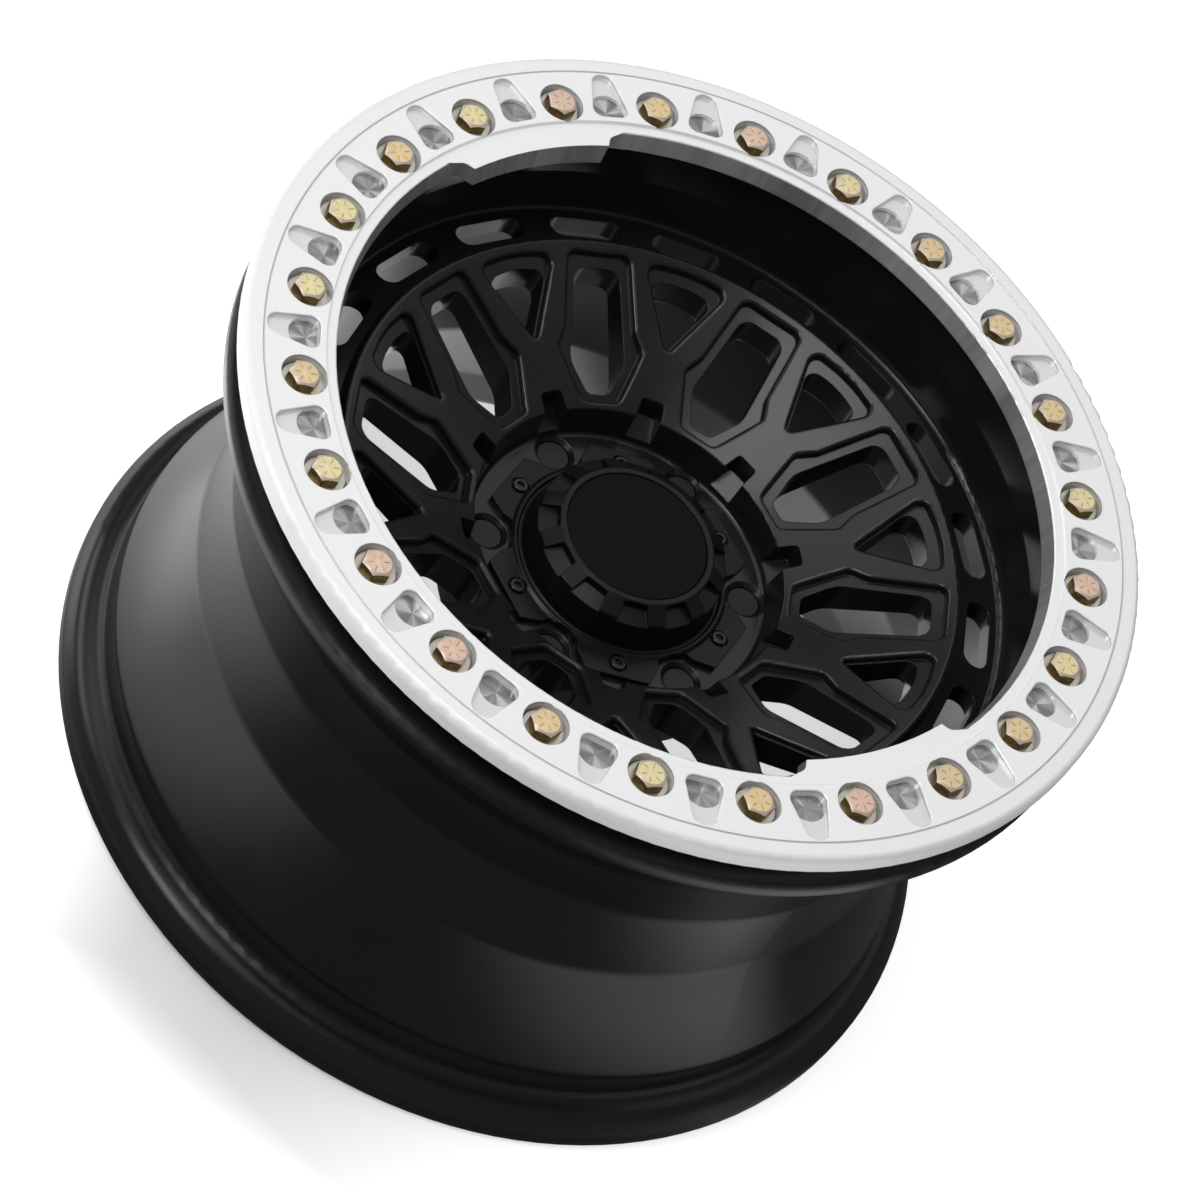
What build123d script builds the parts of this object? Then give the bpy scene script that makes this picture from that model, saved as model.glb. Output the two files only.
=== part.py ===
from build123d import *
import math
import os

os.makedirs("parts", exist_ok=True)

# Main sizes in millimetres
wheel_depth = 279.0
bolt_circle_r = 206.375
lug_circle_r = 69.85
hub_bore_r = 53.05
ring_t = 12.0
bolt_shank_r = 4.76
washer_t = 1.6
bolt_head_t = 6.2
spoke_count = 10
ring_bolt_count = 24
lug_count = 6
cap_screw_count = 6
cap_notch_count = 12

# Clearances
slip = 0.3
bore_gap = 0.45

# Radii tied to the bolt circle
ring_r = bolt_circle_r + 29.9
ring_groove_r = bolt_circle_r + 19.8
ring_step_r = bolt_circle_r - 11.9
ring_inner_r = bolt_circle_r - 17.0
tab_r = ring_inner_r - 8.8
wall_r = bolt_circle_r - 7.8
clamp_seat_r = bolt_circle_r + 9.6
clamp_flange_r = bolt_circle_r + 27.6
shoulder_r = bolt_circle_r + 9.8
well_r = bolt_circle_r - 6.9
hump_r = bolt_circle_r + 13.9
rear_seat_r = bolt_circle_r + 12.8
rear_lip_r = bolt_circle_r + 31.7
barrel_wall = 7.0
floor_r = wall_r - 5.4
spoke_r = wall_r - 33.5
vent_r = (spoke_r + floor_r) / 2

# Radii tied to the lug circle and the hub bore
hub_edge_r = lug_circle_r + 13.7
hub_floor_r = lug_circle_r + 10.5
hub_boss_r = lug_circle_r + 15.0
cap_lip_r = hub_bore_r + 3.0
cap_screw_r = hub_bore_r + 9.5
cap_tab_r = lug_circle_r + 0.4

# Heights above the rear lip
face_z = wheel_depth
mount_z = face_z - ring_t
clamp_face_z = mount_z - 16.5
clamp_back_z = clamp_face_z - 7.5
shoulder_z = clamp_face_z - 36.6
well_front_z = clamp_face_z - 89.5
well_back_z = clamp_face_z - 143.5
hump_z = 42.5
rear_seat_z = 38.0
rear_root_z = 21.5
wall_foot_z = face_z - 46.0
floor_z = face_z - 70.0
spoke_z = face_z - 56.5
hub_edge_z = face_z - 92.0
hub_floor_z = face_z - 109.8
hub_face_z = face_z - 143.0
disc_back_out_z = spoke_z - 20.5
disc_back_in_z = hub_edge_z - 26.0

# Ring bolts and washers
counterbore_r = 11.65
head_rise = 1.8
counterbore_t = washer_t + bolt_head_t - head_rise
bolt_af = 14.29
bolt_reach = 22.0
washer_r = 10.3
bolt_hole_r = bolt_shank_r + bore_gap

# Spoke windows
window_step = 4.5
window_ledge = 5.4
spoke_edge = 2.0
window_pitch = 360 / spoke_count


def rounded(points):
    """Flat face from (x, y, corner radius) points."""
    corners = []
    count = len(points)
    for i, (x, y, radius) in enumerate(points):
        p = Vector(x, y)
        u = (Vector(*points[i - 1][:2]) - p).normalized()
        v = (Vector(*points[(i + 1) % count][:2]) - p).normalized()
        if radius <= 0:
            corners.append((p, None, p))
            continue
        half = math.acos(max(-1.0, min(1.0, u.dot(v)))) / 2
        run = radius / math.tan(half)
        middle = p + (u + v).normalized() * (radius / math.sin(half) - radius)
        corners.append((p + u * run, middle, p + v * run))
    edges = []
    for i, (start, middle, end) in enumerate(corners):
        following = corners[(i + 1) % count][0]
        if middle is not None:
            edges.append(ThreePointArc(start, middle, end))
        if (following - end).length > 1e-4:
            edges.append(Line(end, following))
    return make_face(edges)


def turned(points):
    """Solid of revolution about Z from (r, z, corner radius) points."""
    return revolve(Plane.XZ * rounded(points), Axis.Z)


def prism(points, low, high):
    """Upright prism over an outline in plan."""
    return extrude(Pos(0, 0, low) * rounded(points), high - low)


def mirrored(half):
    """Closed outline from its upper half, mirrored in the X axis."""
    lower = [(x, -y, radius) for x, y, radius in reversed(half)]
    return half + lower


def around(shape, count, first=0.0):
    """Copies of a shape spread evenly about Z."""
    return [Rot(0, 0, first + 360 / count * i) * shape for i in range(count)]


def rod(radius, low, high, x=0.0):
    """Upright cylinder at (x, 0) between two heights."""
    return Pos(x, 0, (low + high) / 2) * Cylinder(radius, high - low)


def spoke_face(r):
    """Height of the spoke face at a radius."""
    t = (r - hub_edge_r) / (spoke_r - hub_edge_r)
    return hub_edge_z + t * (spoke_z - hub_edge_z)


def on_spoke_face(edge):
    """True for an edge that lies in the spoke face, away from its rims."""
    rim = 1.5
    for share in (0.0, 0.5, 1.0):
        p = edge.position_at(share)
        r = math.hypot(p.X, p.Y)
        if not hub_edge_r + rim < r < spoke_r - rim:
            return False
        if abs(p.Z - spoke_face(r)) > bore_gap / 10:
            return False
    return True


def on_ring_face(edge):
    """True for an edge of a pocket or counterbore that lies in the ring's face."""
    for share in (0.0, 0.5, 1.0):
        p = edge.position_at(share)
        r = math.hypot(p.X, p.Y)
        if abs(p.Z - face_z) > bore_gap / 10 or not ring_step_r + 1.0 < r < ring_groove_r - 0.5:
            return False
    return True


# Wheel body: barrel, spoke disc and hub as one casting
sky_z = face_z + 20.0
well_inner_r = well_r - barrel_wall
seat_inner_r = rear_seat_r - barrel_wall
body = turned([
    (wall_r, mount_z, 1.0),
    (clamp_seat_r, mount_z, 1.0),
    (clamp_seat_r, clamp_face_z, 3.0),
    (clamp_flange_r, clamp_face_z, 2.5),
    (clamp_flange_r, clamp_back_z, 3.5),
    (shoulder_r, shoulder_z, 14.0),
    (well_r, well_front_z, 22.0),
    (well_r, well_back_z, 16.0),
    (hump_r, hump_z, 3.0),
    (rear_seat_r, rear_seat_z, 3.0),
    (rear_seat_r + 1.4, rear_root_z, 5.0),
    (rear_lip_r - 6.5, rear_root_z - 2.0, 8.0),
    (rear_lip_r, rear_root_z - 11.0, 3.0),
    (rear_lip_r, 0.0, 4.4),
    (rear_lip_r - 9.0, 0.0, 3.0),
    (rear_lip_r - 12.0, 9.0, 3.0),
    (seat_inner_r + 2.0, 13.0, 6.0),
    (seat_inner_r, hump_z - 2.0, 10.0),
    (well_inner_r, well_back_z - 3.0, 16.0),
    (well_inner_r, disc_back_out_z - 4.0, 8.0),
    (spoke_r - 4.0, disc_back_out_z, 4.0),
    (hub_boss_r + 3.0, disc_back_in_z, 8.0),
    (hub_boss_r, hub_face_z, 2.0),
    (hub_bore_r, hub_face_z, 1.5),
    (hub_bore_r, hub_floor_z, 0.8),
    (hub_floor_r, hub_floor_z, 2.5),
    (hub_edge_r, hub_edge_z, 1.2),
    (spoke_r, spoke_z, 2.0),
    (spoke_r + 1.0, floor_z + 5.5, 1.5),
    (floor_r, floor_z, 3.0),
    (wall_r, wall_foot_z, 2.0),
])

# Stepped windows: the ledge follows the spoke face at window_step depth
ledge_room = turned([
    (hub_edge_r - 2.0, spoke_face(hub_edge_r - 2.0) - window_step, 0),
    (spoke_r, spoke_face(spoke_r) - window_step, 0),
    (spoke_r, sky_z, 0),
    (hub_edge_r - 2.0, sky_z, 0),
])
long_out_r = spoke_r - 6.6
long_in_r = hub_edge_r + 4.5
long_outline = mirrored([
    (long_in_r, 9.8, 4.0),
    (spoke_r - 53.0, 23.0, 3.0),
    (spoke_r - 43.0, 19.0, 6.0),
    (long_out_r, 17.0, 5.0),
])
long_opening = mirrored([
    (long_in_r + 4.6, 5.6, 5.0),
    (spoke_r - 57.0, 15.2, 12.0),
    (long_out_r - window_ledge, 12.6, 7.0),
])
tip_r = spoke_r - 45.0
fork_out_r = spoke_r - 6.2
fork_outline = mirrored([
    (tip_r, 1.2, 1.1),
    (fork_out_r - 2.6, 23.0, 4.5),
    (fork_out_r, 6.0, 40.0),
])
fork_opening = mirrored([
    (tip_r + 1.6, 1.0, 0.9),
    (fork_out_r - window_ledge - 2.8, 18.6, 5.0),
    (fork_out_r - window_ledge, 5.0, 35.0),
])
deep_z = hub_face_z - 5.0
long_step = prism(long_outline, deep_z, sky_z) & ledge_room
fork_step = prism(fork_outline, deep_z, sky_z) & ledge_room
long_cut = prism(long_opening, deep_z, sky_z)
fork_cut = prism(fork_opening, deep_z, sky_z)
half_pitch = window_pitch / 2
body -= around(long_step, spoke_count, half_pitch)
body -= around(fork_step, spoke_count)
body = fillet(body.edges().filter_by(on_spoke_face), min(spoke_edge, window_step / 2))
body -= around(long_cut, spoke_count, half_pitch)
body -= around(fork_cut, spoke_count)

# Oval vents in the floor between the spokes and the barrel
vent_long = 20.0
vent_wide = 7.0
vent = prism([
    (vent_r - vent_wide, -vent_long, vent_wide - 0.4),
    (vent_r + vent_wide, -vent_long, vent_wide - 0.4),
    (vent_r + vent_wide, vent_long, vent_wide - 0.4),
    (vent_r - vent_wide, vent_long, vent_wide - 0.4),
], disc_back_out_z - 20.0, spoke_z)
body -= around(vent, 2 * spoke_count)

# Sloped notches round the hub edge, one on each spoke
notch_out_r = hub_edge_r + 9.5
notch_in_r = hub_floor_r - 6.0
notch_room = turned([
    (notch_in_r - 2.0, hub_floor_z + 0.6, 0),
    (notch_in_r, hub_floor_z + 0.6, 0),
    (notch_out_r + 1.0, hub_edge_z - 8.0, 0),
    (notch_out_r + 1.0, sky_z, 0),
    (notch_in_r - 2.0, sky_z, 0),
])
notch = prism(mirrored([
    (notch_in_r, 7.4, 0),
    (notch_out_r, 6.0, 2.2),
]), hub_face_z, sky_z) & notch_room
body -= around(notch, spoke_count)

# Lug holes with a chamfered mouth and a plug ledge
plug_r = 8.65
plug_t = 4.4
plug_top_z = hub_floor_z - 2.2
lug_pocket_r = plug_r + slip
lug_hole_r = 7.6
lug_mouth_r = lug_pocket_r + 2.0
lug_tool = Pos(lug_circle_r, 0, 0) * turned([
    (0, hub_face_z - 5.0, 0),
    (lug_hole_r, hub_face_z - 5.0, 0),
    (lug_hole_r, plug_top_z - plug_t, 0),
    (lug_pocket_r, plug_top_z - plug_t, 0),
    (lug_pocket_r, plug_top_z, 0),
    (lug_mouth_r, hub_floor_z, 0),
    (lug_mouth_r, hub_floor_z + 2.0, 0),
    (0, hub_floor_z + 2.0, 0),
])
body -= around(lug_tool, lug_count)

# Threaded holes for the ring bolts and the cap screws
bolt_hole_t = bolt_reach + 4.0
bolt_hole = rod(bolt_shank_r + slip, mount_z - bolt_hole_t, mount_z + 1.0, bolt_circle_r)
ring_turn = 360 / ring_bolt_count / 2
body -= around(bolt_hole, ring_bolt_count, ring_turn)
cap_screw_shank_r = 2.4
cap_screw_reach = 9.0
screw_hole = rod(cap_screw_shank_r + slip, hub_floor_z - cap_screw_reach - 2.0, hub_floor_z + 1.0, cap_screw_r)
cap_turn = 360 / cap_screw_count / 2
body -= around(screw_hole, cap_screw_count, cap_turn)
export_step(body, "parts/wheel_body.step")

# Clamp ring with its two inner tabs
ring_step_t = 1.6
inner_taper = 2.9
ring_edge = 3.2
lip_back_z = mount_z + 2.0
ring = turned([
    (ring_inner_r - inner_taper, mount_z, 0.8),
    (ring_inner_r, face_z - ring_step_t, 0.8),
    (ring_step_r, face_z - ring_step_t, 0),
    (ring_step_r + 0.5, face_z, 0),
    (ring_groove_r - 0.4, face_z, 0),
    (ring_groove_r, face_z - 0.6, 0),
    (ring_groove_r + 0.4, face_z, 0),
    (ring_r, face_z - 0.5, ring_edge),
    (ring_r, lip_back_z, 0.5),
    (clamp_seat_r + 3.5, lip_back_z, 1.0),
    (clamp_seat_r + 1.5, mount_z, 0),
])
tab_half = 12.6
tab_flare = 17.5
tab_corners = (
    (ring_step_r + 2.0, tab_flare / 3, 0),
    (ring_inner_r + 2.0, tab_flare, 0),
    (tab_r + 5.0, tab_half + 1.2, 5.0),
    (tab_r - 8.0, tab_half - 0.6, 0),
)
tab_plan = []
for r, degrees, radius in tab_corners:
    angle = math.radians(degrees)
    tab_plan.append((r * math.cos(angle), r * math.sin(angle), radius))
tab = prism(mirrored(tab_plan), mount_z, face_z - ring_step_t) - turned([
    (0, mount_z - 1.0, 0),
    (tab_r - inner_taper - 0.3, mount_z - 1.0, 0),
    (tab_r + 0.3, face_z, 0),
    (0, face_z, 0),
])
ring += around(tab, 2)

# Counterbored bolt holes in the ring
counterbore = rod(counterbore_r, face_z - counterbore_t, face_z + 1.0, bolt_circle_r)
through = rod(bolt_hole_r, mount_z - 1.0, face_z, bolt_circle_r)
ring -= around(counterbore, ring_bolt_count, ring_turn)
ring -= around(through, ring_bolt_count, ring_turn)

# Keystone pockets between the bolts, with a deeper dished floor at the inner end
pocket_in_r = bolt_circle_r - 8.3
pocket_out_r = bolt_circle_r + 18.1
pocket_shallow = 2.6
pocket_deep = 5.4
dish_rise = 1.6
pocket_plan = mirrored([
    (pocket_in_r, 10.6, 5.0),
    (pocket_out_r, 5.0, 5.6),
])
deep_r = bolt_circle_r - 2.4
deep_plan_r = 9.4
dish_r = 2 * deep_plan_r
dish = Pos(deep_r, 0, 0) * turned([
    (0, face_z - pocket_deep, 0),
    (dish_r, face_z - pocket_deep + dish_rise, 0),
    (dish_r, face_z + 1.0, 0),
    (0, face_z + 1.0, 0),
])
deep_room = rod(deep_plan_r, face_z - ring_t, face_z + 1.0, deep_r)
deep_room += Pos(deep_r - deep_plan_r, 0, face_z - ring_t / 2) * Box(2 * deep_plan_r, 4 * deep_plan_r, ring_t + 2.0)
pocket = prism(pocket_plan, face_z - pocket_shallow, face_z + 1.0)
pocket += prism(pocket_plan, face_z - ring_t, face_z + 1.0) & deep_room & dish
ring -= around(pocket, ring_bolt_count)
rim_edge = 0.7
ring = fillet(ring.edges().filter_by(on_ring_face), rim_edge)
export_step(ring, "parts/clamp_ring.step")

# Ring washers
washer_z = face_z - counterbore_t
washer = rod(washer_r, washer_z, washer_z + washer_t, bolt_circle_r)
washer -= rod(bolt_hole_r, washer_z - 1.0, washer_z + washer_t + 1.0, bolt_circle_r)
washers = around(washer, ring_bolt_count, ring_turn)
export_step(Compound(children=washers), "parts/ring_washers.step")

# Ring bolts: hexagon head with a turned top edge, each stopped at its own angle when tightened
head_z = washer_z + washer_t
hex_r = bolt_af / 2 / math.cos(math.radians(30))
head_top_r = bolt_af / 2 - 1.0
head_slope = math.tan(math.radians(30))
head = extrude(RegularPolygon(hex_r, 6), bolt_head_t) & turned([
    (0, 0, 0),
    (hex_r, 0, 0),
    (hex_r, bolt_head_t - (hex_r - head_top_r) * head_slope, 0),
    (head_top_r, bolt_head_t, 0),
    (0, bolt_head_t, 0),
])
head = Pos(0, 0, head_z) * head
shank = rod(bolt_shank_r, mount_z - bolt_reach, head_z + 0.5)
bolt = head + shank
bolt_turns = (32, 28, 4, 34, 20, 6, 32, 16, 26, 0, 50, 40, 18, 22, 24, 4, 4, 10, 12, 2, 46, 16, 50, 54)
bolts = []
for i in range(ring_bolt_count):
    angle = ring_turn + 360 / ring_bolt_count * i
    place = Rot(0, 0, angle) * Pos(bolt_circle_r, 0, 0)
    bolts.append(place * Rot(0, 0, bolt_turns[i % len(bolt_turns)] - angle) * bolt)
export_step(Compound(children=bolts), "parts/ring_bolts.step")

# Centre cap: flange with six screw tabs, raised lip and a notched crown
plate_t = 3.2
plate_z = hub_floor_z + plate_t
crown_z = hub_floor_z + 26.8
crown_r = cap_lip_r - 4.6
badge_r = cap_lip_r - 18.5
badge_t = 2.4
cap_wall = 3.0
cap = turned([
    (0, hub_floor_z + 14.0, 0),
    (badge_r - 4.0, hub_floor_z + 14.0, 3.0),
    (crown_r - cap_wall - 1.0, hub_floor_z, 0),
    (cap_lip_r + 2.4, hub_floor_z, 0),
    (cap_lip_r + 2.4, plate_z, 0),
    (cap_lip_r + 0.8, plate_z + 1.4, 0.8),
    (cap_lip_r - 0.8, plate_z + 1.4, 0.8),
    (cap_lip_r - 1.6, plate_z - 0.6, 0),
    (crown_r + 1.0, plate_z - 0.6, 1.5),
    (crown_r - 1.0, crown_z - 5.6, 1.5),
    (badge_r + 3.2, crown_z, 1.2),
    (badge_r + slip, crown_z, 0.5),
    (badge_r + slip, crown_z - badge_t - 0.4, 0),
    (0, crown_z - badge_t - 0.4, 0),
])
tab_out_half = 17.0
tab_in_half = 21.5
cap_tab = prism(mirrored([
    (cap_lip_r - 4.0, tab_in_half, 0),
    (cap_lip_r + 4.0, tab_in_half, 1.5),
    (cap_tab_r, tab_out_half, 1.5),
]), hub_floor_z, plate_z)
cap_tab -= rod(cap_lip_r, hub_floor_z - 1.0, plate_z + 1.0)
cap += around(cap_tab, cap_screw_count, cap_turn)
cap -= around(rod(lug_mouth_r + 2.0, hub_floor_z - 1.0, plate_z + 6.0, lug_circle_r), lug_count)

# Notches in the crown's edge
notch_start_r = badge_r + 3.8
notch_end_r = crown_r + 6.0
crown_notch_room = turned([
    (notch_start_r, crown_z - 4.6, 0),
    (notch_end_r, crown_z - 9.4, 0),
    (notch_end_r, crown_z + 5.0, 0),
    (notch_start_r, crown_z + 5.0, 0),
])
crown_notch = prism(mirrored([
    (notch_start_r, 6.2, 0.8),
    (notch_end_r, 10.6, 0),
]), plate_z, crown_z + 5.0) & crown_notch_room
cap -= around(crown_notch, cap_notch_count)

# Screw seats in the tabs
screw_head_r = 4.0
screw_head_t = 2.6
screw_seat_t = 1.6
seat_hole = rod(screw_head_r + 0.9, plate_z - screw_seat_t, plate_z + 1.0, cap_screw_r)
seat_hole += rod(cap_screw_shank_r + slip, hub_floor_z - 1.0, plate_z, cap_screw_r)
cap -= around(seat_hole, cap_screw_count, cap_turn)
export_step(cap, "parts/center_cap.step")

# Plain disc let into the cap
badge_z = crown_z - badge_t - 0.4
badge = turned([
    (0, badge_z, 0),
    (badge_r, badge_z, 0),
    (badge_r, badge_z + badge_t, 0.6),
    (0, badge_z + badge_t, 0),
])
export_step(badge, "parts/cap_disc.step")

# Socket screws that hold the cap
screw_z = plate_z - screw_seat_t
socket_af = 4.0
socket_t = 1.6
socket_r = socket_af / 2 / math.cos(math.radians(30))
screw = turned([
    (0, hub_floor_z - cap_screw_reach, 0),
    (cap_screw_shank_r, hub_floor_z - cap_screw_reach, 0),
    (cap_screw_shank_r, screw_z, 0),
    (screw_head_r, screw_z, 0),
    (screw_head_r, screw_z + screw_head_t, 0.7),
    (0, screw_z + screw_head_t, 0),
])
socket = Pos(0, 0, screw_z + screw_head_t - socket_t) * extrude(RegularPolygon(socket_r, 6), socket_t + 1.0)
screw = Pos(cap_screw_r, 0, 0) * (screw - socket)
screws = around(screw, cap_screw_count, cap_turn)
export_step(Compound(children=screws), "parts/cap_screws.step")

# Flat plugs that close the lug holes
plug = Pos(lug_circle_r, 0, 0) * turned([
    (0, plug_top_z - plug_t, 0),
    (plug_r, plug_top_z - plug_t, 0),
    (plug_r, plug_top_z, 0.8),
    (0, plug_top_z, 0),
])
plugs = around(plug, lug_count)
export_step(Compound(children=plugs), "parts/lug_plugs.step")
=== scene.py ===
"""Off-road clamp-ring wheel: finishes, ring bolts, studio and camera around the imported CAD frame."""
import math

import bpy
from mathutils import Matrix, Vector


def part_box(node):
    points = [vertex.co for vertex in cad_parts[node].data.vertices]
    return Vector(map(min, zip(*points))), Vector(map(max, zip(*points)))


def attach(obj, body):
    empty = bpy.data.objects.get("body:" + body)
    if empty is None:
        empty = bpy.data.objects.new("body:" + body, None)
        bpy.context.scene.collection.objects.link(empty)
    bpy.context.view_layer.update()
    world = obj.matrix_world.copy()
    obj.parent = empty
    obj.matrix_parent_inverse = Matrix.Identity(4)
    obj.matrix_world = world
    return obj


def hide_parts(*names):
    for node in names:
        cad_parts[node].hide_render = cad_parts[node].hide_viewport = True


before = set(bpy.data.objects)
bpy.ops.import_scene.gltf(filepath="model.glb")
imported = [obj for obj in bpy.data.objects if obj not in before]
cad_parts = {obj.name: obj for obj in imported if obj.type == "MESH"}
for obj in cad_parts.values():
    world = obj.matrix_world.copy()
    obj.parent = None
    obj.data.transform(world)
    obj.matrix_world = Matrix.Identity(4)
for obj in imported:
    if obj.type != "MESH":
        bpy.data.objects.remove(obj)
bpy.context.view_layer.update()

# Ring, bolts and dish: heights from the frame, then sizes, with lengths in metres
face_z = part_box("clamp_ring")[1].z
bolt_low_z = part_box("ring_bolts")[0].z
bolt_top_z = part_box("ring_bolts")[1].z
bolt_count = 24
bolt_circle_r = 0.206375
shank_r = 0.00476
shank_lap = 0.001
shank_sides = 32
head_t = 0.0062
head_half = 0.007145
head_sides = 6
head_corner_r = head_half / math.cos(math.pi / head_sides)
head_chamfer = 0.001
chamfer_slope = math.radians(30)
chamfer_sides = 96
head_top_r = head_half - head_chamfer
head_edge = 0.00012
mark_count = 6
mark_in_r = 0.0027
mark_out_r = 0.0054
mark_wide = 0.0004
mark_deep = 0.00022
mark_shade_t = 0.0001
plan_span = 0.02
pocket_low_r = 0.1958
pocket_high_r = 0.2256
pocket_turn_r = 0.203975
pocket_rim_t = 0.0008
pocket_floor_t = 0.0032
pocket_pitch = 2 * math.pi / bolt_count
groove_r = 0.226175
groove_half = 0.0006
inner_wall_r = 0.1902
ring_edge_r = 0.2275
dish_out_r = 0.2065

# Sockets of the Mix node that hold its two colours and the result
mix_first = 6
mix_second = 7
mix_result = 2


class Wire:
    """A shader socket whose Python operators add Math nodes."""

    def __init__(self, finish, socket):
        self.finish = finish
        self.socket = socket

    def maths(self, operation, *others):
        values = dict(enumerate((self,) + others))
        return self.finish.wire("ShaderNodeMath", {"operation": operation}, values)

    def __add__(self, other):
        return self.maths("ADD", other)

    def __sub__(self, other):
        return self.maths("SUBTRACT", other)

    def __mul__(self, other):
        return self.maths("MULTIPLY", other)

    def __truediv__(self, other):
        return self.maths("DIVIDE", other)

    def __pow__(self, other):
        return self.maths("POWER", other)

    def __rsub__(self, other):
        return (self * -1) + other

    __radd__ = __add__
    __rmul__ = __mul__

    def above(self, edge, soft):
        """0 below an edge, 1 above it, with a soft step between."""
        settings = {"interpolation_type": "SMOOTHSTEP"}
        values = {"Value": self, "From Min": edge - soft, "From Max": edge + soft}
        return self.finish.wire("ShaderNodeMapRange", settings, values)

    def below(self, edge, soft):
        return 1 - self.above(edge, soft)

    def between(self, low, high, soft):
        return self.above(low, soft) * self.below(high, soft)

    def larger(self, *others):
        """The largest of this value and the others."""
        most = self
        for other in others:
            most = most.maths("MAXIMUM", other)
        return most

    def around(self, amount):
        """Noise as a change of up to half the amount, either way."""
        return amount * (self - 0.5)


class Finish:
    """A node material with one method that adds its nodes."""

    def __init__(self, name):
        self.material = bpy.data.materials.new(name)
        self.material.use_nodes = True
        self.tree = self.material.node_tree
        self.tree.nodes.clear()
        self.place = self.wire("ShaderNodeTexCoord", output="Object")
        self.plan = self.wire("ShaderNodeTexCoord", output="UV")
        self.facing = self.wire("ShaderNodeNewGeometry", output="Normal")

    def node(self, kind, settings=None, sockets=None):
        made = self.tree.nodes.new(kind)
        for name, value in (settings or {}).items():
            if name == "stops":
                self.set_stops(made.color_ramp, value)
            else:
                setattr(made, name, value)
        for name, value in (sockets or {}).items():
            if isinstance(value, Wire):
                self.tree.links.new(value.socket, made.inputs[name])
            else:
                made.inputs[name].default_value = value
        return made

    def set_stops(self, ramp, stops):
        while len(ramp.elements) < len(stops):
            ramp.elements.new(1.0)
        for element, (position, colour) in zip(ramp.elements, stops):
            element.position = position
            element.color = (*colour, 1.0)

    def wire(self, kind, settings=None, sockets=None, output=0):
        return Wire(self, self.node(kind, settings, sockets).outputs[output])

    def axis(self, name, vector=None):
        return self.wire("ShaderNodeSeparateXYZ", None, {"Vector": vector or self.place}, name)

    def radius(self):
        """Distance from the wheel's axis."""
        x = self.axis("X")
        y = self.axis("Y")
        return (x * x + y * y) ** 0.5

    def noise(self, scale, detail=2.0):
        sockets = {"Vector": self.place, "Scale": scale, "Detail": detail}
        return self.wire("ShaderNodeTexNoise", None, sockets)

    def lines(self, along):
        """Noise that changes along one value only."""
        sockets = {"W": along, "Scale": 1.0, "Detail": 2.0}
        return self.wire("ShaderNodeTexNoise", {"noise_dimensions": "1D"}, sockets)

    def mix(self, share, first, second):
        """Blend of two colours, each a wire or three numbers."""
        ends = [end if isinstance(end, Wire) else (*end, 1.0) for end in (first, second)]
        sockets = {"Factor": share, mix_first: ends[0], mix_second: ends[1]}
        return self.wire("ShaderNodeMix", {"data_type": "RGBA"}, sockets, mix_result)

    def ramp(self, value, *stops):
        return self.wire("ShaderNodeValToRGB", {"stops": stops}, {"Fac": value})

    def soft_edges(self, radius):
        return self.wire("ShaderNodeBevel", {"samples": 4}, {"Radius": radius})

    def outer_edges(self, start_r, fine, broad):
        """Soft edges that grow broader outside a radius."""
        share = self.radius().above(start_r, soft=0.0015)
        return self.soft_edges(fine + (broad - fine) * share)

    def bump(self, height, distance, strength, normal):
        sockets = {"Height": height, "Distance": distance, "Strength": strength, "Normal": normal}
        return self.wire("ShaderNodeBump", None, sockets)

    def surface(self, **sockets):
        named = {key.replace("_", " "): value for key, value in sockets.items()}
        shader = self.wire("ShaderNodeBsdfPrincipled", None, named)
        self.output(shader)
        return self.material

    def output(self, shader):
        self.node("ShaderNodeOutputMaterial", None, {"Surface": shader})


def satin_black(name, colour, roughness, specular, edge):
    """Powder coat: fine grain, slow changes of gloss, and soft edges that are broader outside the dish."""
    lip_edge = 5.0 * edge
    shade_change = 0.18
    grain_height = 0.00012
    grain_strength = 0.10
    finish = Finish(name)
    grain = finish.noise(scale=1400.0, detail=3.0)
    cloud = finish.noise(scale=22.0)
    darker = [(1 - shade_change) * channel for channel in colour]
    paler = [(1 + shade_change) * channel for channel in colour]
    edges = finish.outer_edges(dish_out_r, edge, lip_edge)
    return finish.surface(
        Base_Color=finish.mix(cloud, darker, paler),
        Roughness=roughness + cloud.around(0.06) + grain.around(0.04),
        Specular_IOR_Level=specular,
        Normal=finish.bump(grain, grain_height, grain_strength, edges),
    )


def pocket_swirl(finish, radius, angle):
    """Cutter marks that fan out on a pocket's floor and differ from pocket to pocket."""
    marks_per_radian = 0.8
    pocket_shift = 7.3
    index = (angle / pocket_pitch).maths("ROUND")
    turn = angle - index * pocket_pitch
    along = radius * turn.maths("COSINE") - pocket_turn_r
    across = radius * turn.maths("SINE")
    return finish.lines(across.maths("ARCTAN2", along) * marks_per_radian + index * pocket_shift)


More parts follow.
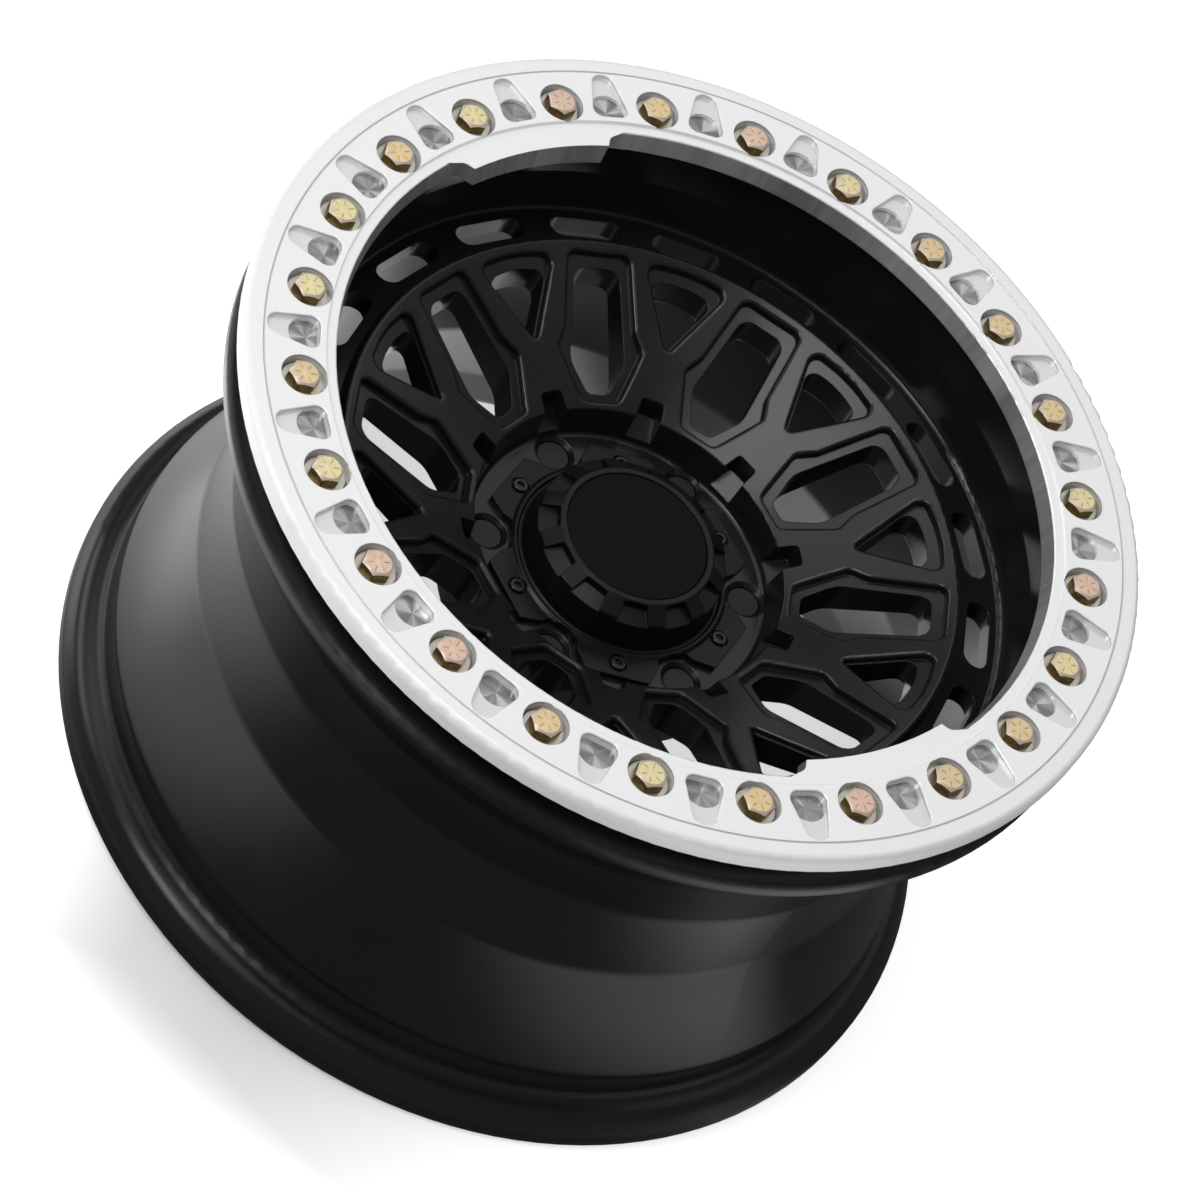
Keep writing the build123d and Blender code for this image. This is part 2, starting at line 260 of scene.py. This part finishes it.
def machined_ring(name):
    """Turned aluminium: fine concentric lines, a brush-marked inner wall with painted reflection bands,
    milled pockets with grey floors, and grey lines of painted shade in the groove and at the pocket rims.
    """
    mill_soft = 0.0004
    line_soft = 0.0002
    rim_high_t = 0.0003
    rim_low_t = 0.0016
    rounding_r = groove_r + 0.001
    fine_edge = 0.0005
    round_edge = 0.0020
    turned_lines = 2600.0
    line_height = 0.00004
    line_strength = 0.30
    bright = (0.93, 0.93, 0.935)
    milled = (0.78, 0.78, 0.79)
    # Grey for lines of painted shade in the groove and at the pocket rims
    shade_line_grey = (0.34, 0.34, 0.35)
    finish = Finish(name)
    radius = finish.radius()
    angle = finish.axis("Y").maths("ARCTAN2", finish.axis("X"))
    depth = face_z - finish.axis("Z")
    slope = finish.axis("Z", finish.facing)
    level = slope.above(edge=0.6, soft=0.2)
    lines = finish.lines(radius * turned_lines)
    cloud = finish.noise(scale=160.0, detail=3.0)
    pocket_band = radius.between(pocket_low_r, pocket_high_r, mill_soft)
    pocket = depth.above(pocket_rim_t, mill_soft) * pocket_band
    deep = depth.above(pocket_floor_t, mill_soft) * pocket * level
    shallow = pocket * level - deep
    wall = pocket - pocket * level
    rim = depth.above(rim_high_t, line_soft) * depth.below(rim_low_t, mill_soft) * pocket_band
    groove = (radius - groove_r).maths("ABSOLUTE").below(groove_half, line_soft)
    rounding = slope.below(edge=0.97, soft=0.03) * radius.above(rounding_r, mill_soft)
    inner = slope.below(edge=0.5, soft=0.2) * radius.below(inner_wall_r, mill_soft)
    # Inner wall: fine brushing streaks, and broad bright and dark bands round the wall that are painted
    # reflection
    reflection_bands = finish.lines(angle * 2.4)
    fine_streaks = finish.lines(angle * 40.0)
    floor = finish.ramp(
        pocket_swirl(finish, radius, angle),
        (0.34, (0.24, 0.24, 0.25)),
        (0.52, (0.38, 0.38, 0.39)),
        (0.68, (0.66, 0.66, 0.67)),
    )
    brushing_and_reflection = finish.ramp(
        reflection_bands * 0.85 + fine_streaks * 0.15,
        (0.36, (0.50, 0.50, 0.51)),
        (0.50, (0.78, 0.78, 0.79)),
        (0.62, (0.98, 0.98, 0.98)),
    )
    face = finish.mix(deep, finish.mix(shallow, bright, milled), floor)
    # Painted shade: the groove and the pocket rims are darkened with grey lines
    shade_lined = finish.mix((groove * 0.4).larger(rim * 0.5), face, shade_line_grey)
    edges = finish.outer_edges(ring_edge_r, fine_edge, round_edge)
    return finish.surface(
        Base_Color=finish.mix(inner, shade_lined, brushing_and_reflection),
        Metallic=0.42 + 0.36 * deep - 0.20 * wall + 0.40 * inner,
        Roughness=0.32 - 0.10 * pocket + 0.26 * rounding + lines.around(0.10) + cloud.around(0.06),
        Normal=finish.bump(lines, line_height, line_strength, edges),
    )


def yellow_zinc(name, cast, tinge):
    """Yellow zinc plate on a bolt: clouded top with sunk marks darkened as painted shade, a paler turned
    edge that is partly a painted highlight, and sides darkened as painted shade.
    """
    # Pale pink of the turned chamfer, partly the plate's tone and partly a painted highlight
    pale_edge_highlight = (0.68, 0.55, 0.46)
    # Brown of painted shade in the sunk marks
    mark_shade_brown = (0.26, 0.16, 0.07)
    flank_shade_brown = (0.15, 0.08, 0.035)
    flank_shade_olive = (0.28, 0.20, 0.06)
    grain_height = 0.00006
    grain_strength = 0.30
    soft_edge = 0.0003
    ray_rate = 2.6
    ray_shift = 90.0
    finish = Finish(name)
    x = (finish.axis("X", finish.plan) - 0.5) * plan_span
    y = (finish.axis("Y", finish.plan) - 0.5) * plan_span
    radius = (x * x + y * y) ** 0.5
    top = radius.below(head_top_r, soft=0.00025)
    # Sunk marks, darkened below the top as painted shade
    sunk = finish.axis("Z").below(bolt_top_z - mark_shade_t, soft=0.00008) * top
    sides = finish.axis("Z", finish.facing).below(edge=0.4, soft=0.15)
    cloud = finish.noise(scale=300.0, detail=3.0)
    rays = finish.lines(y.maths("ARCTAN2", x) * ray_rate + finish.axis("X") * ray_shift)
    grain = finish.noise(scale=1800.0)
    blush = (cloud * 0.7 + rays * 0.6).above(edge=0.68, soft=0.22)
    head = finish.mix(top, pale_edge_highlight, finish.mix(blush, cast, tinge))
    # Painted shade: the head's sides take dark browns
    flank = finish.ramp(cloud, (0.35, flank_shade_brown), (0.65, flank_shade_olive))
    plate = finish.mix(sides, head, flank)
    return finish.surface(
        Base_Color=finish.mix(sunk * 0.4, plate, mark_shade_brown),
        Metallic=0.45 + 0.45 * sides,
        Roughness=0.40 + cloud.around(0.16) + rays.around(0.12),
        Normal=finish.bump(grain, grain_height, grain_strength, finish.soft_edges(soft_edge)),
    )


def pale_zinc(name):
    """Thin plated washers, paler than the bolts."""
    soft_edge = 0.0003
    olive = (0.66, 0.66, 0.52)
    cream = (0.80, 0.76, 0.66)
    finish = Finish(name)
    cloud = finish.noise(scale=240.0, detail=3.0)
    return finish.surface(
        Base_Color=finish.ramp(cloud, (0.3, olive), (0.7, cream)),
        Metallic=0.8,
        Roughness=0.34 + cloud.around(0.12),
        Normal=finish.soft_edges(soft_edge),
    )


def dress(node, material):
    """One finish for all of a CAD node."""
    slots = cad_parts[node].data.materials
    slots.clear()
    slots.append(material)


body_black = (0.0075, 0.0075, 0.0079)
cap_black = (0.0060, 0.0060, 0.0064)
disc_black = (0.0070, 0.0070, 0.0074)
screw_black = (0.0090, 0.0090, 0.0090)
plug_black = (0.0200, 0.0200, 0.0210)
dress("wheel_body", satin_black("satin_body", body_black, roughness=0.24, specular=0.5, edge=0.0009))
dress("center_cap", satin_black("satin_cap", cap_black, roughness=0.30, specular=0.25, edge=0.0009))
dress("cap_disc", satin_black("matte_disc", disc_black, roughness=0.50, specular=0.04, edge=0.0003))
dress("cap_screws", satin_black("oiled_screw", screw_black, roughness=0.22, specular=0.5, edge=0.0003))
dress("lug_plugs", satin_black("matte_plug", plug_black, roughness=0.50, specular=0.3, edge=0.0004))
dress("clamp_ring", machined_ring("machined_ring"))
dress("ring_washers", pale_zinc("pale_zinc"))


# Ring bolts: one hexagon bolt with six radial marks, copied to its 24 places
def pick(piece):
    """Select one object alone and make it active."""
    bpy.ops.object.select_all(action="DESELECT")
    piece.select_set(True)
    bpy.context.view_layer.objects.active = piece


def settle():
    """The new primitive, with its place moved into its mesh."""
    bpy.ops.object.transform_apply(location=True, rotation=True, scale=True)
    return bpy.context.object


def apply_modifier(piece, kind, **settings):
    modifier = piece.modifiers.new(kind.lower(), kind)
    for name, value in settings.items():
        setattr(modifier, name, value)
    pick(piece)
    bpy.ops.object.modifier_apply(modifier=modifier.name)


def carve(piece, tool, operation):
    """Boolean with a tool, which is then deleted."""
    apply_modifier(piece, "BOOLEAN", object=tool, operation=operation, solver="EXACT")
    bpy.data.objects.remove(tool)


def cylinder(sides, radius, low_z, high_z, turn=0.0):
    """Upright cylinder or prism on the bolt's axis."""
    bpy.ops.object.select_all(action="DESELECT")
    bpy.ops.mesh.primitive_cylinder_add(
        vertices=sides,
        radius=radius,
        depth=high_z - low_z,
        location=(0.0, 0.0, (high_z + low_z) / 2),
        rotation=(0.0, 0.0, turn),
    )
    return settle()


def chamfer_tool():
    """Cone whose side turns the corners of the head down."""
    bpy.ops.object.select_all(action="DESELECT")
    bpy.ops.mesh.primitive_cone_add(
        vertices=chamfer_sides,
        radius1=head_top_r + head_t / math.tan(chamfer_slope),
        radius2=head_top_r,
        depth=head_t,
        location=(0.0, 0.0, bolt_top_z - head_t / 2),
    )
    return settle()


def mark_tool():
    """Short radial bars at the head's top."""
    bpy.ops.object.select_all(action="DESELECT")
    middle_r = (mark_in_r + mark_out_r) / 2
    bars = []
    for i in range(mark_count):
        angle = 2 * math.pi * i / mark_count
        bpy.ops.mesh.primitive_cube_add(
            size=1.0,
            location=(middle_r * math.cos(angle), middle_r * math.sin(angle), bolt_top_z),
            rotation=(0.0, 0.0, angle),
            scale=(mark_out_r - mark_in_r, mark_wide, 2 * mark_deep),
        )
        bars.append(settle())
    for bar in bars:
        bar.select_set(True)
    bpy.ops.object.join()
    return bpy.context.object


def lay_plan(bolt):
    """UV map that is the bolt seen from above, with its axis in the middle."""
    plan = bolt.data.uv_layers[0]
    for loop in bolt.data.loops:
        spot = bolt.data.vertices[loop.vertex_index].co
        plan.data[loop.index].uv = (spot.x / plan_span + 0.5, spot.y / plan_span + 0.5)


def bolt_master():
    head_z = bolt_top_z - head_t
    bolt = cylinder(head_sides, head_corner_r, head_z, bolt_top_z, math.pi / head_sides)
    carve(bolt, chamfer_tool(), "INTERSECT")
    carve(bolt, mark_tool(), "DIFFERENCE")
    carve(bolt, cylinder(shank_sides, shank_r, bolt_low_z, head_z + shank_lap), "UNION")
    apply_modifier(bolt, "BEVEL", width=head_edge, segments=2, limit_method="ANGLE", angle_limit=0.6)
    lay_plan(bolt)
    pick(bolt)
    bpy.ops.object.shade_smooth_by_angle(angle=0.5)
    return bolt


zinc_casts = {
    "gold": yellow_zinc("zinc_gold", (0.80, 0.60, 0.31), (0.83, 0.67, 0.40)),
    "green": yellow_zinc("zinc_green", (0.83, 0.77, 0.41), (0.83, 0.67, 0.42)),
    "pink": yellow_zinc("zinc_pink", (0.76, 0.52, 0.42), (0.82, 0.62, 0.46)),
    "rose": yellow_zinc("zinc_rose", (0.78, 0.58, 0.36), (0.80, 0.66, 0.36)),
}
bolt_casts = (
    "rose", "gold", "green", "pink", "green", "rose", "gold", "rose",
    "green", "pink", "gold", "pink", "green", "gold", "green", "green",
    "rose", "green", "pink", "pink", "gold", "green", "gold", "pink",
)
bolt_turns = (
    32, 28, 4, 34, 20, 6, 32, 16,
    26, 0, 50, 40, 18, 22, 24, 4,
    4, 10, 12, 2, 46, 16, 50, 54,
)


def place_bolts():
    """A copy of the bolt, with its own mesh, at each place on the bolt circle."""
    master = bolt_master()
    for i, (cast, turn) in enumerate(zip(bolt_casts, bolt_turns)):
        angle = 2 * math.pi * (i + 0.5) / bolt_count
        spot = Vector((bolt_circle_r * math.cos(angle), bolt_circle_r * math.sin(angle), 0.0))
        mesh = master.data.copy()
        mesh.transform(Matrix.Translation(spot) @ Matrix.Rotation(math.radians(turn), 4, "Z"))
        mesh.materials.clear()
        mesh.materials.append(zinc_casts[cast])
        bolt = bpy.data.objects.new(f"ring_bolt_{i + 1:02d}", mesh)
        bpy.context.scene.collection.objects.link(bolt)
        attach(bolt, "root")
        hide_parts("ring_bolts")
    bpy.data.objects.remove(master)


place_bolts()


# Studio: white floor, even fill and five softboxes around the ring
picture_left = Vector((-0.837, -0.547, 0.0))
picture_front = Vector((0.547, -0.837, 0.0))
ring_middle = Vector((0.0, 0.0, face_z))
white = (1.0, 1.0, 1.0, 1.0)
floor_grey = (0.8, 0.8, 0.8, 1.0)


def light_path(finish, *names):
    """Sum of the named kinds of ray, 0 or 1."""
    rays = finish.node("ShaderNodeLightPath")
    share = Wire(finish, rays.outputs[names[0]])
    for name in names[1:]:
        share = share + Wire(finish, rays.outputs[name])
    return share


def mirrored_floor(across, ahead):
    """The floor as the wheel mirrors it, a glow seen only in reflections: dim in front as painted shade,
    with a painted shadow strip under the hub, bright behind and at both sides.
    """
    # Painted shade: the dim level of the mirrored floor in front of the wheel
    front_shade_dim = 0.07
    sweep_glow = 1.25
    # Painted shadow of the hub on the mirrored floor behind the wheel
    hub_shadow_strip = across.between(low=-0.012, high=0.052, soft=0.012) * ahead.above(edge=-0.20, soft=0.015)
    back = ahead.below(edge=-0.09, soft=0.10) * across.above(edge=-0.10, soft=0.05)
    right = across.below(edge=-0.26, soft=0.08) * ahead.above(edge=0.08, soft=0.05)
    left = across.above(edge=0.235, soft=0.09)
    far_left = across.above(edge=0.31, soft=0.03)
    beside = far_left * ahead.below(edge=0.12, soft=0.08) * ahead.above(edge=-0.05, soft=0.04)
    behind_glow = back * (0.85 - 0.7 * hub_shadow_strip)
    right_glow = right * 0.7
    left_glow = left * 0.85 + beside * 1.3
    return behind_glow.larger(right_glow, left_glow) * sweep_glow + front_shade_dim


def seen_floor(radius, across, ahead, shaded, open_glow):
    """The floor's own glow to the camera, weaker in the wheel's shade at the front."""
    open_left = across.above(edge=0.13, soft=0.05)
    open_right = across.below(edge=-0.06, soft=0.10)
    open_back = ahead.below(edge=0.10, soft=0.06)
    outside = radius.above(edge=0.29, soft=0.03)
    return shaded + (open_glow - shaded) * outside.larger(open_left, open_right, open_back)


def white_floor(size, shaded, open_glow):
    """White floor that keeps the soft shadow and shows other brightness in reflections."""
    bpy.ops.object.select_all(action="DESELECT")
    bpy.ops.mesh.primitive_plane_add(size=size, location=(0.0, 0.0, 0.0))
    floor = bpy.context.object
    floor.name = "floor"
    finish = Finish("white_floor")
    seen = light_path(finish, "Is Camera Ray", "Is Transmission Ray")
    mirrored = light_path(finish, "Is Glossy Ray")
    across = finish.axis("X") * picture_left.x + finish.axis("Y") * picture_left.y
    ahead = finish.axis("X") * picture_front.x + finish.axis("Y") * picture_front.y
    glow_level = seen * seen_floor(finish.radius(), across, ahead, shaded, open_glow)
    glow = finish.wire("ShaderNodeEmission", None, {"Color": glow_level})
    sheet = finish.wire("ShaderNodeBsdfDiffuse", None, {"Color": floor_grey})
    lit = finish.wire("ShaderNodeAddShader", None, {0: glow, 1: sheet})
    mirror = finish.wire("ShaderNodeEmission", None, {"Color": mirrored_floor(across, ahead)})
    finish.output(finish.wire("ShaderNodeMixShader", None, {0: mirrored, 1: lit, 2: mirror}))
    floor.data.materials.append(finish.material)


def studio_world(diffuse, mirrored):
    """White to the camera, a dim even fill for the rest."""
    world = bpy.data.worlds.new("studio")
    bpy.context.scene.world = world
    world.use_nodes = True
    nodes = world.node_tree.nodes
    links = world.node_tree.links
    rays = nodes.new("ShaderNodeLightPath")
    shine = nodes.new("ShaderNodeMix")
    shine.inputs["A"].default_value = diffuse
    shine.inputs["B"].default_value = mirrored
    links.new(rays.outputs["Is Glossy Ray"], shine.inputs["Factor"])
    seen = nodes.new("ShaderNodeMix")
    seen.inputs["B"].default_value = 1.0
    links.new(rays.outputs["Is Camera Ray"], seen.inputs["Factor"])
    links.new(shine.outputs["Result"], seen.inputs["A"])
    links.new(seen.outputs["Result"], nodes["Background"].inputs["Strength"])
    nodes["Background"].inputs["Color"].default_value = white


def softbox(name, toward, distance, width, height, radiance):
    """Area lamp that faces the middle of the ring; radiance 1 mirrors as white."""
    lamp = bpy.data.lights.new(name, "AREA")
    lamp.shape = "RECTANGLE"
    lamp.size = width
    lamp.size_y = height
    lamp.energy = radiance * math.pi * width * height
    offset = Vector(toward) * distance
    holder = bpy.data.objects.new(name, lamp)
    holder.location = ring_middle + offset
    holder.rotation_mode = "QUATERNION"
    holder.rotation_quaternion = (-offset).to_track_quat("-Z", "Y")
    bpy.context.scene.collection.objects.link(holder)


white_floor(size=14.0, shaded=0.12, open_glow=0.64)
studio_world(diffuse=0.55, mirrored=0.14)
softbox("panel", (-0.367, 0.561, 0.742), distance=2.4, width=2.3, height=2.3, radiance=0.55)
softbox("top", (-0.10, -0.09, 0.99), distance=2.2, width=0.8, height=0.8, radiance=3.8)
softbox("sheen", (-0.51, -0.05, 0.86), distance=2.2, width=1.0, height=1.0, radiance=0.8)
softbox("side", (-0.84, -0.40, 0.36), distance=1.7, width=1.3, height=0.8, radiance=1.8)
softbox("front", (-0.145, -0.69, 0.71), distance=2.0, width=0.6, height=0.6, radiance=8.0)


# Camera at the photograph's angle, rolled to its left
def camera(spot, azimuth, elevation, roll, focal_length):
    """Camera with its angles in degrees and its lens in millimetres."""
    lens = bpy.data.cameras.new("camera")
    lens.lens = focal_length
    lens.sensor_width = 36.0
    holder = bpy.data.objects.new("camera", lens)
    bpy.context.scene.collection.objects.link(holder)
    turn = Matrix.Rotation(math.radians(azimuth), 4, "Z")
    tilt = Matrix.Rotation(math.radians(90 - elevation), 4, "X")
    lean = Matrix.Rotation(math.radians(roll), 4, "Z")
    holder.matrix_world = Matrix.Translation(spot) @ turn @ tilt @ lean
    bpy.context.scene.camera = holder


camera(
    spot=(0.935374, -1.423948, 2.024354),
    azimuth=33.2,
    elevation=47.869,
    roll=35.26,
    focal_length=151.364,
)
bpy.context.scene.view_settings.view_transform = "Standard"
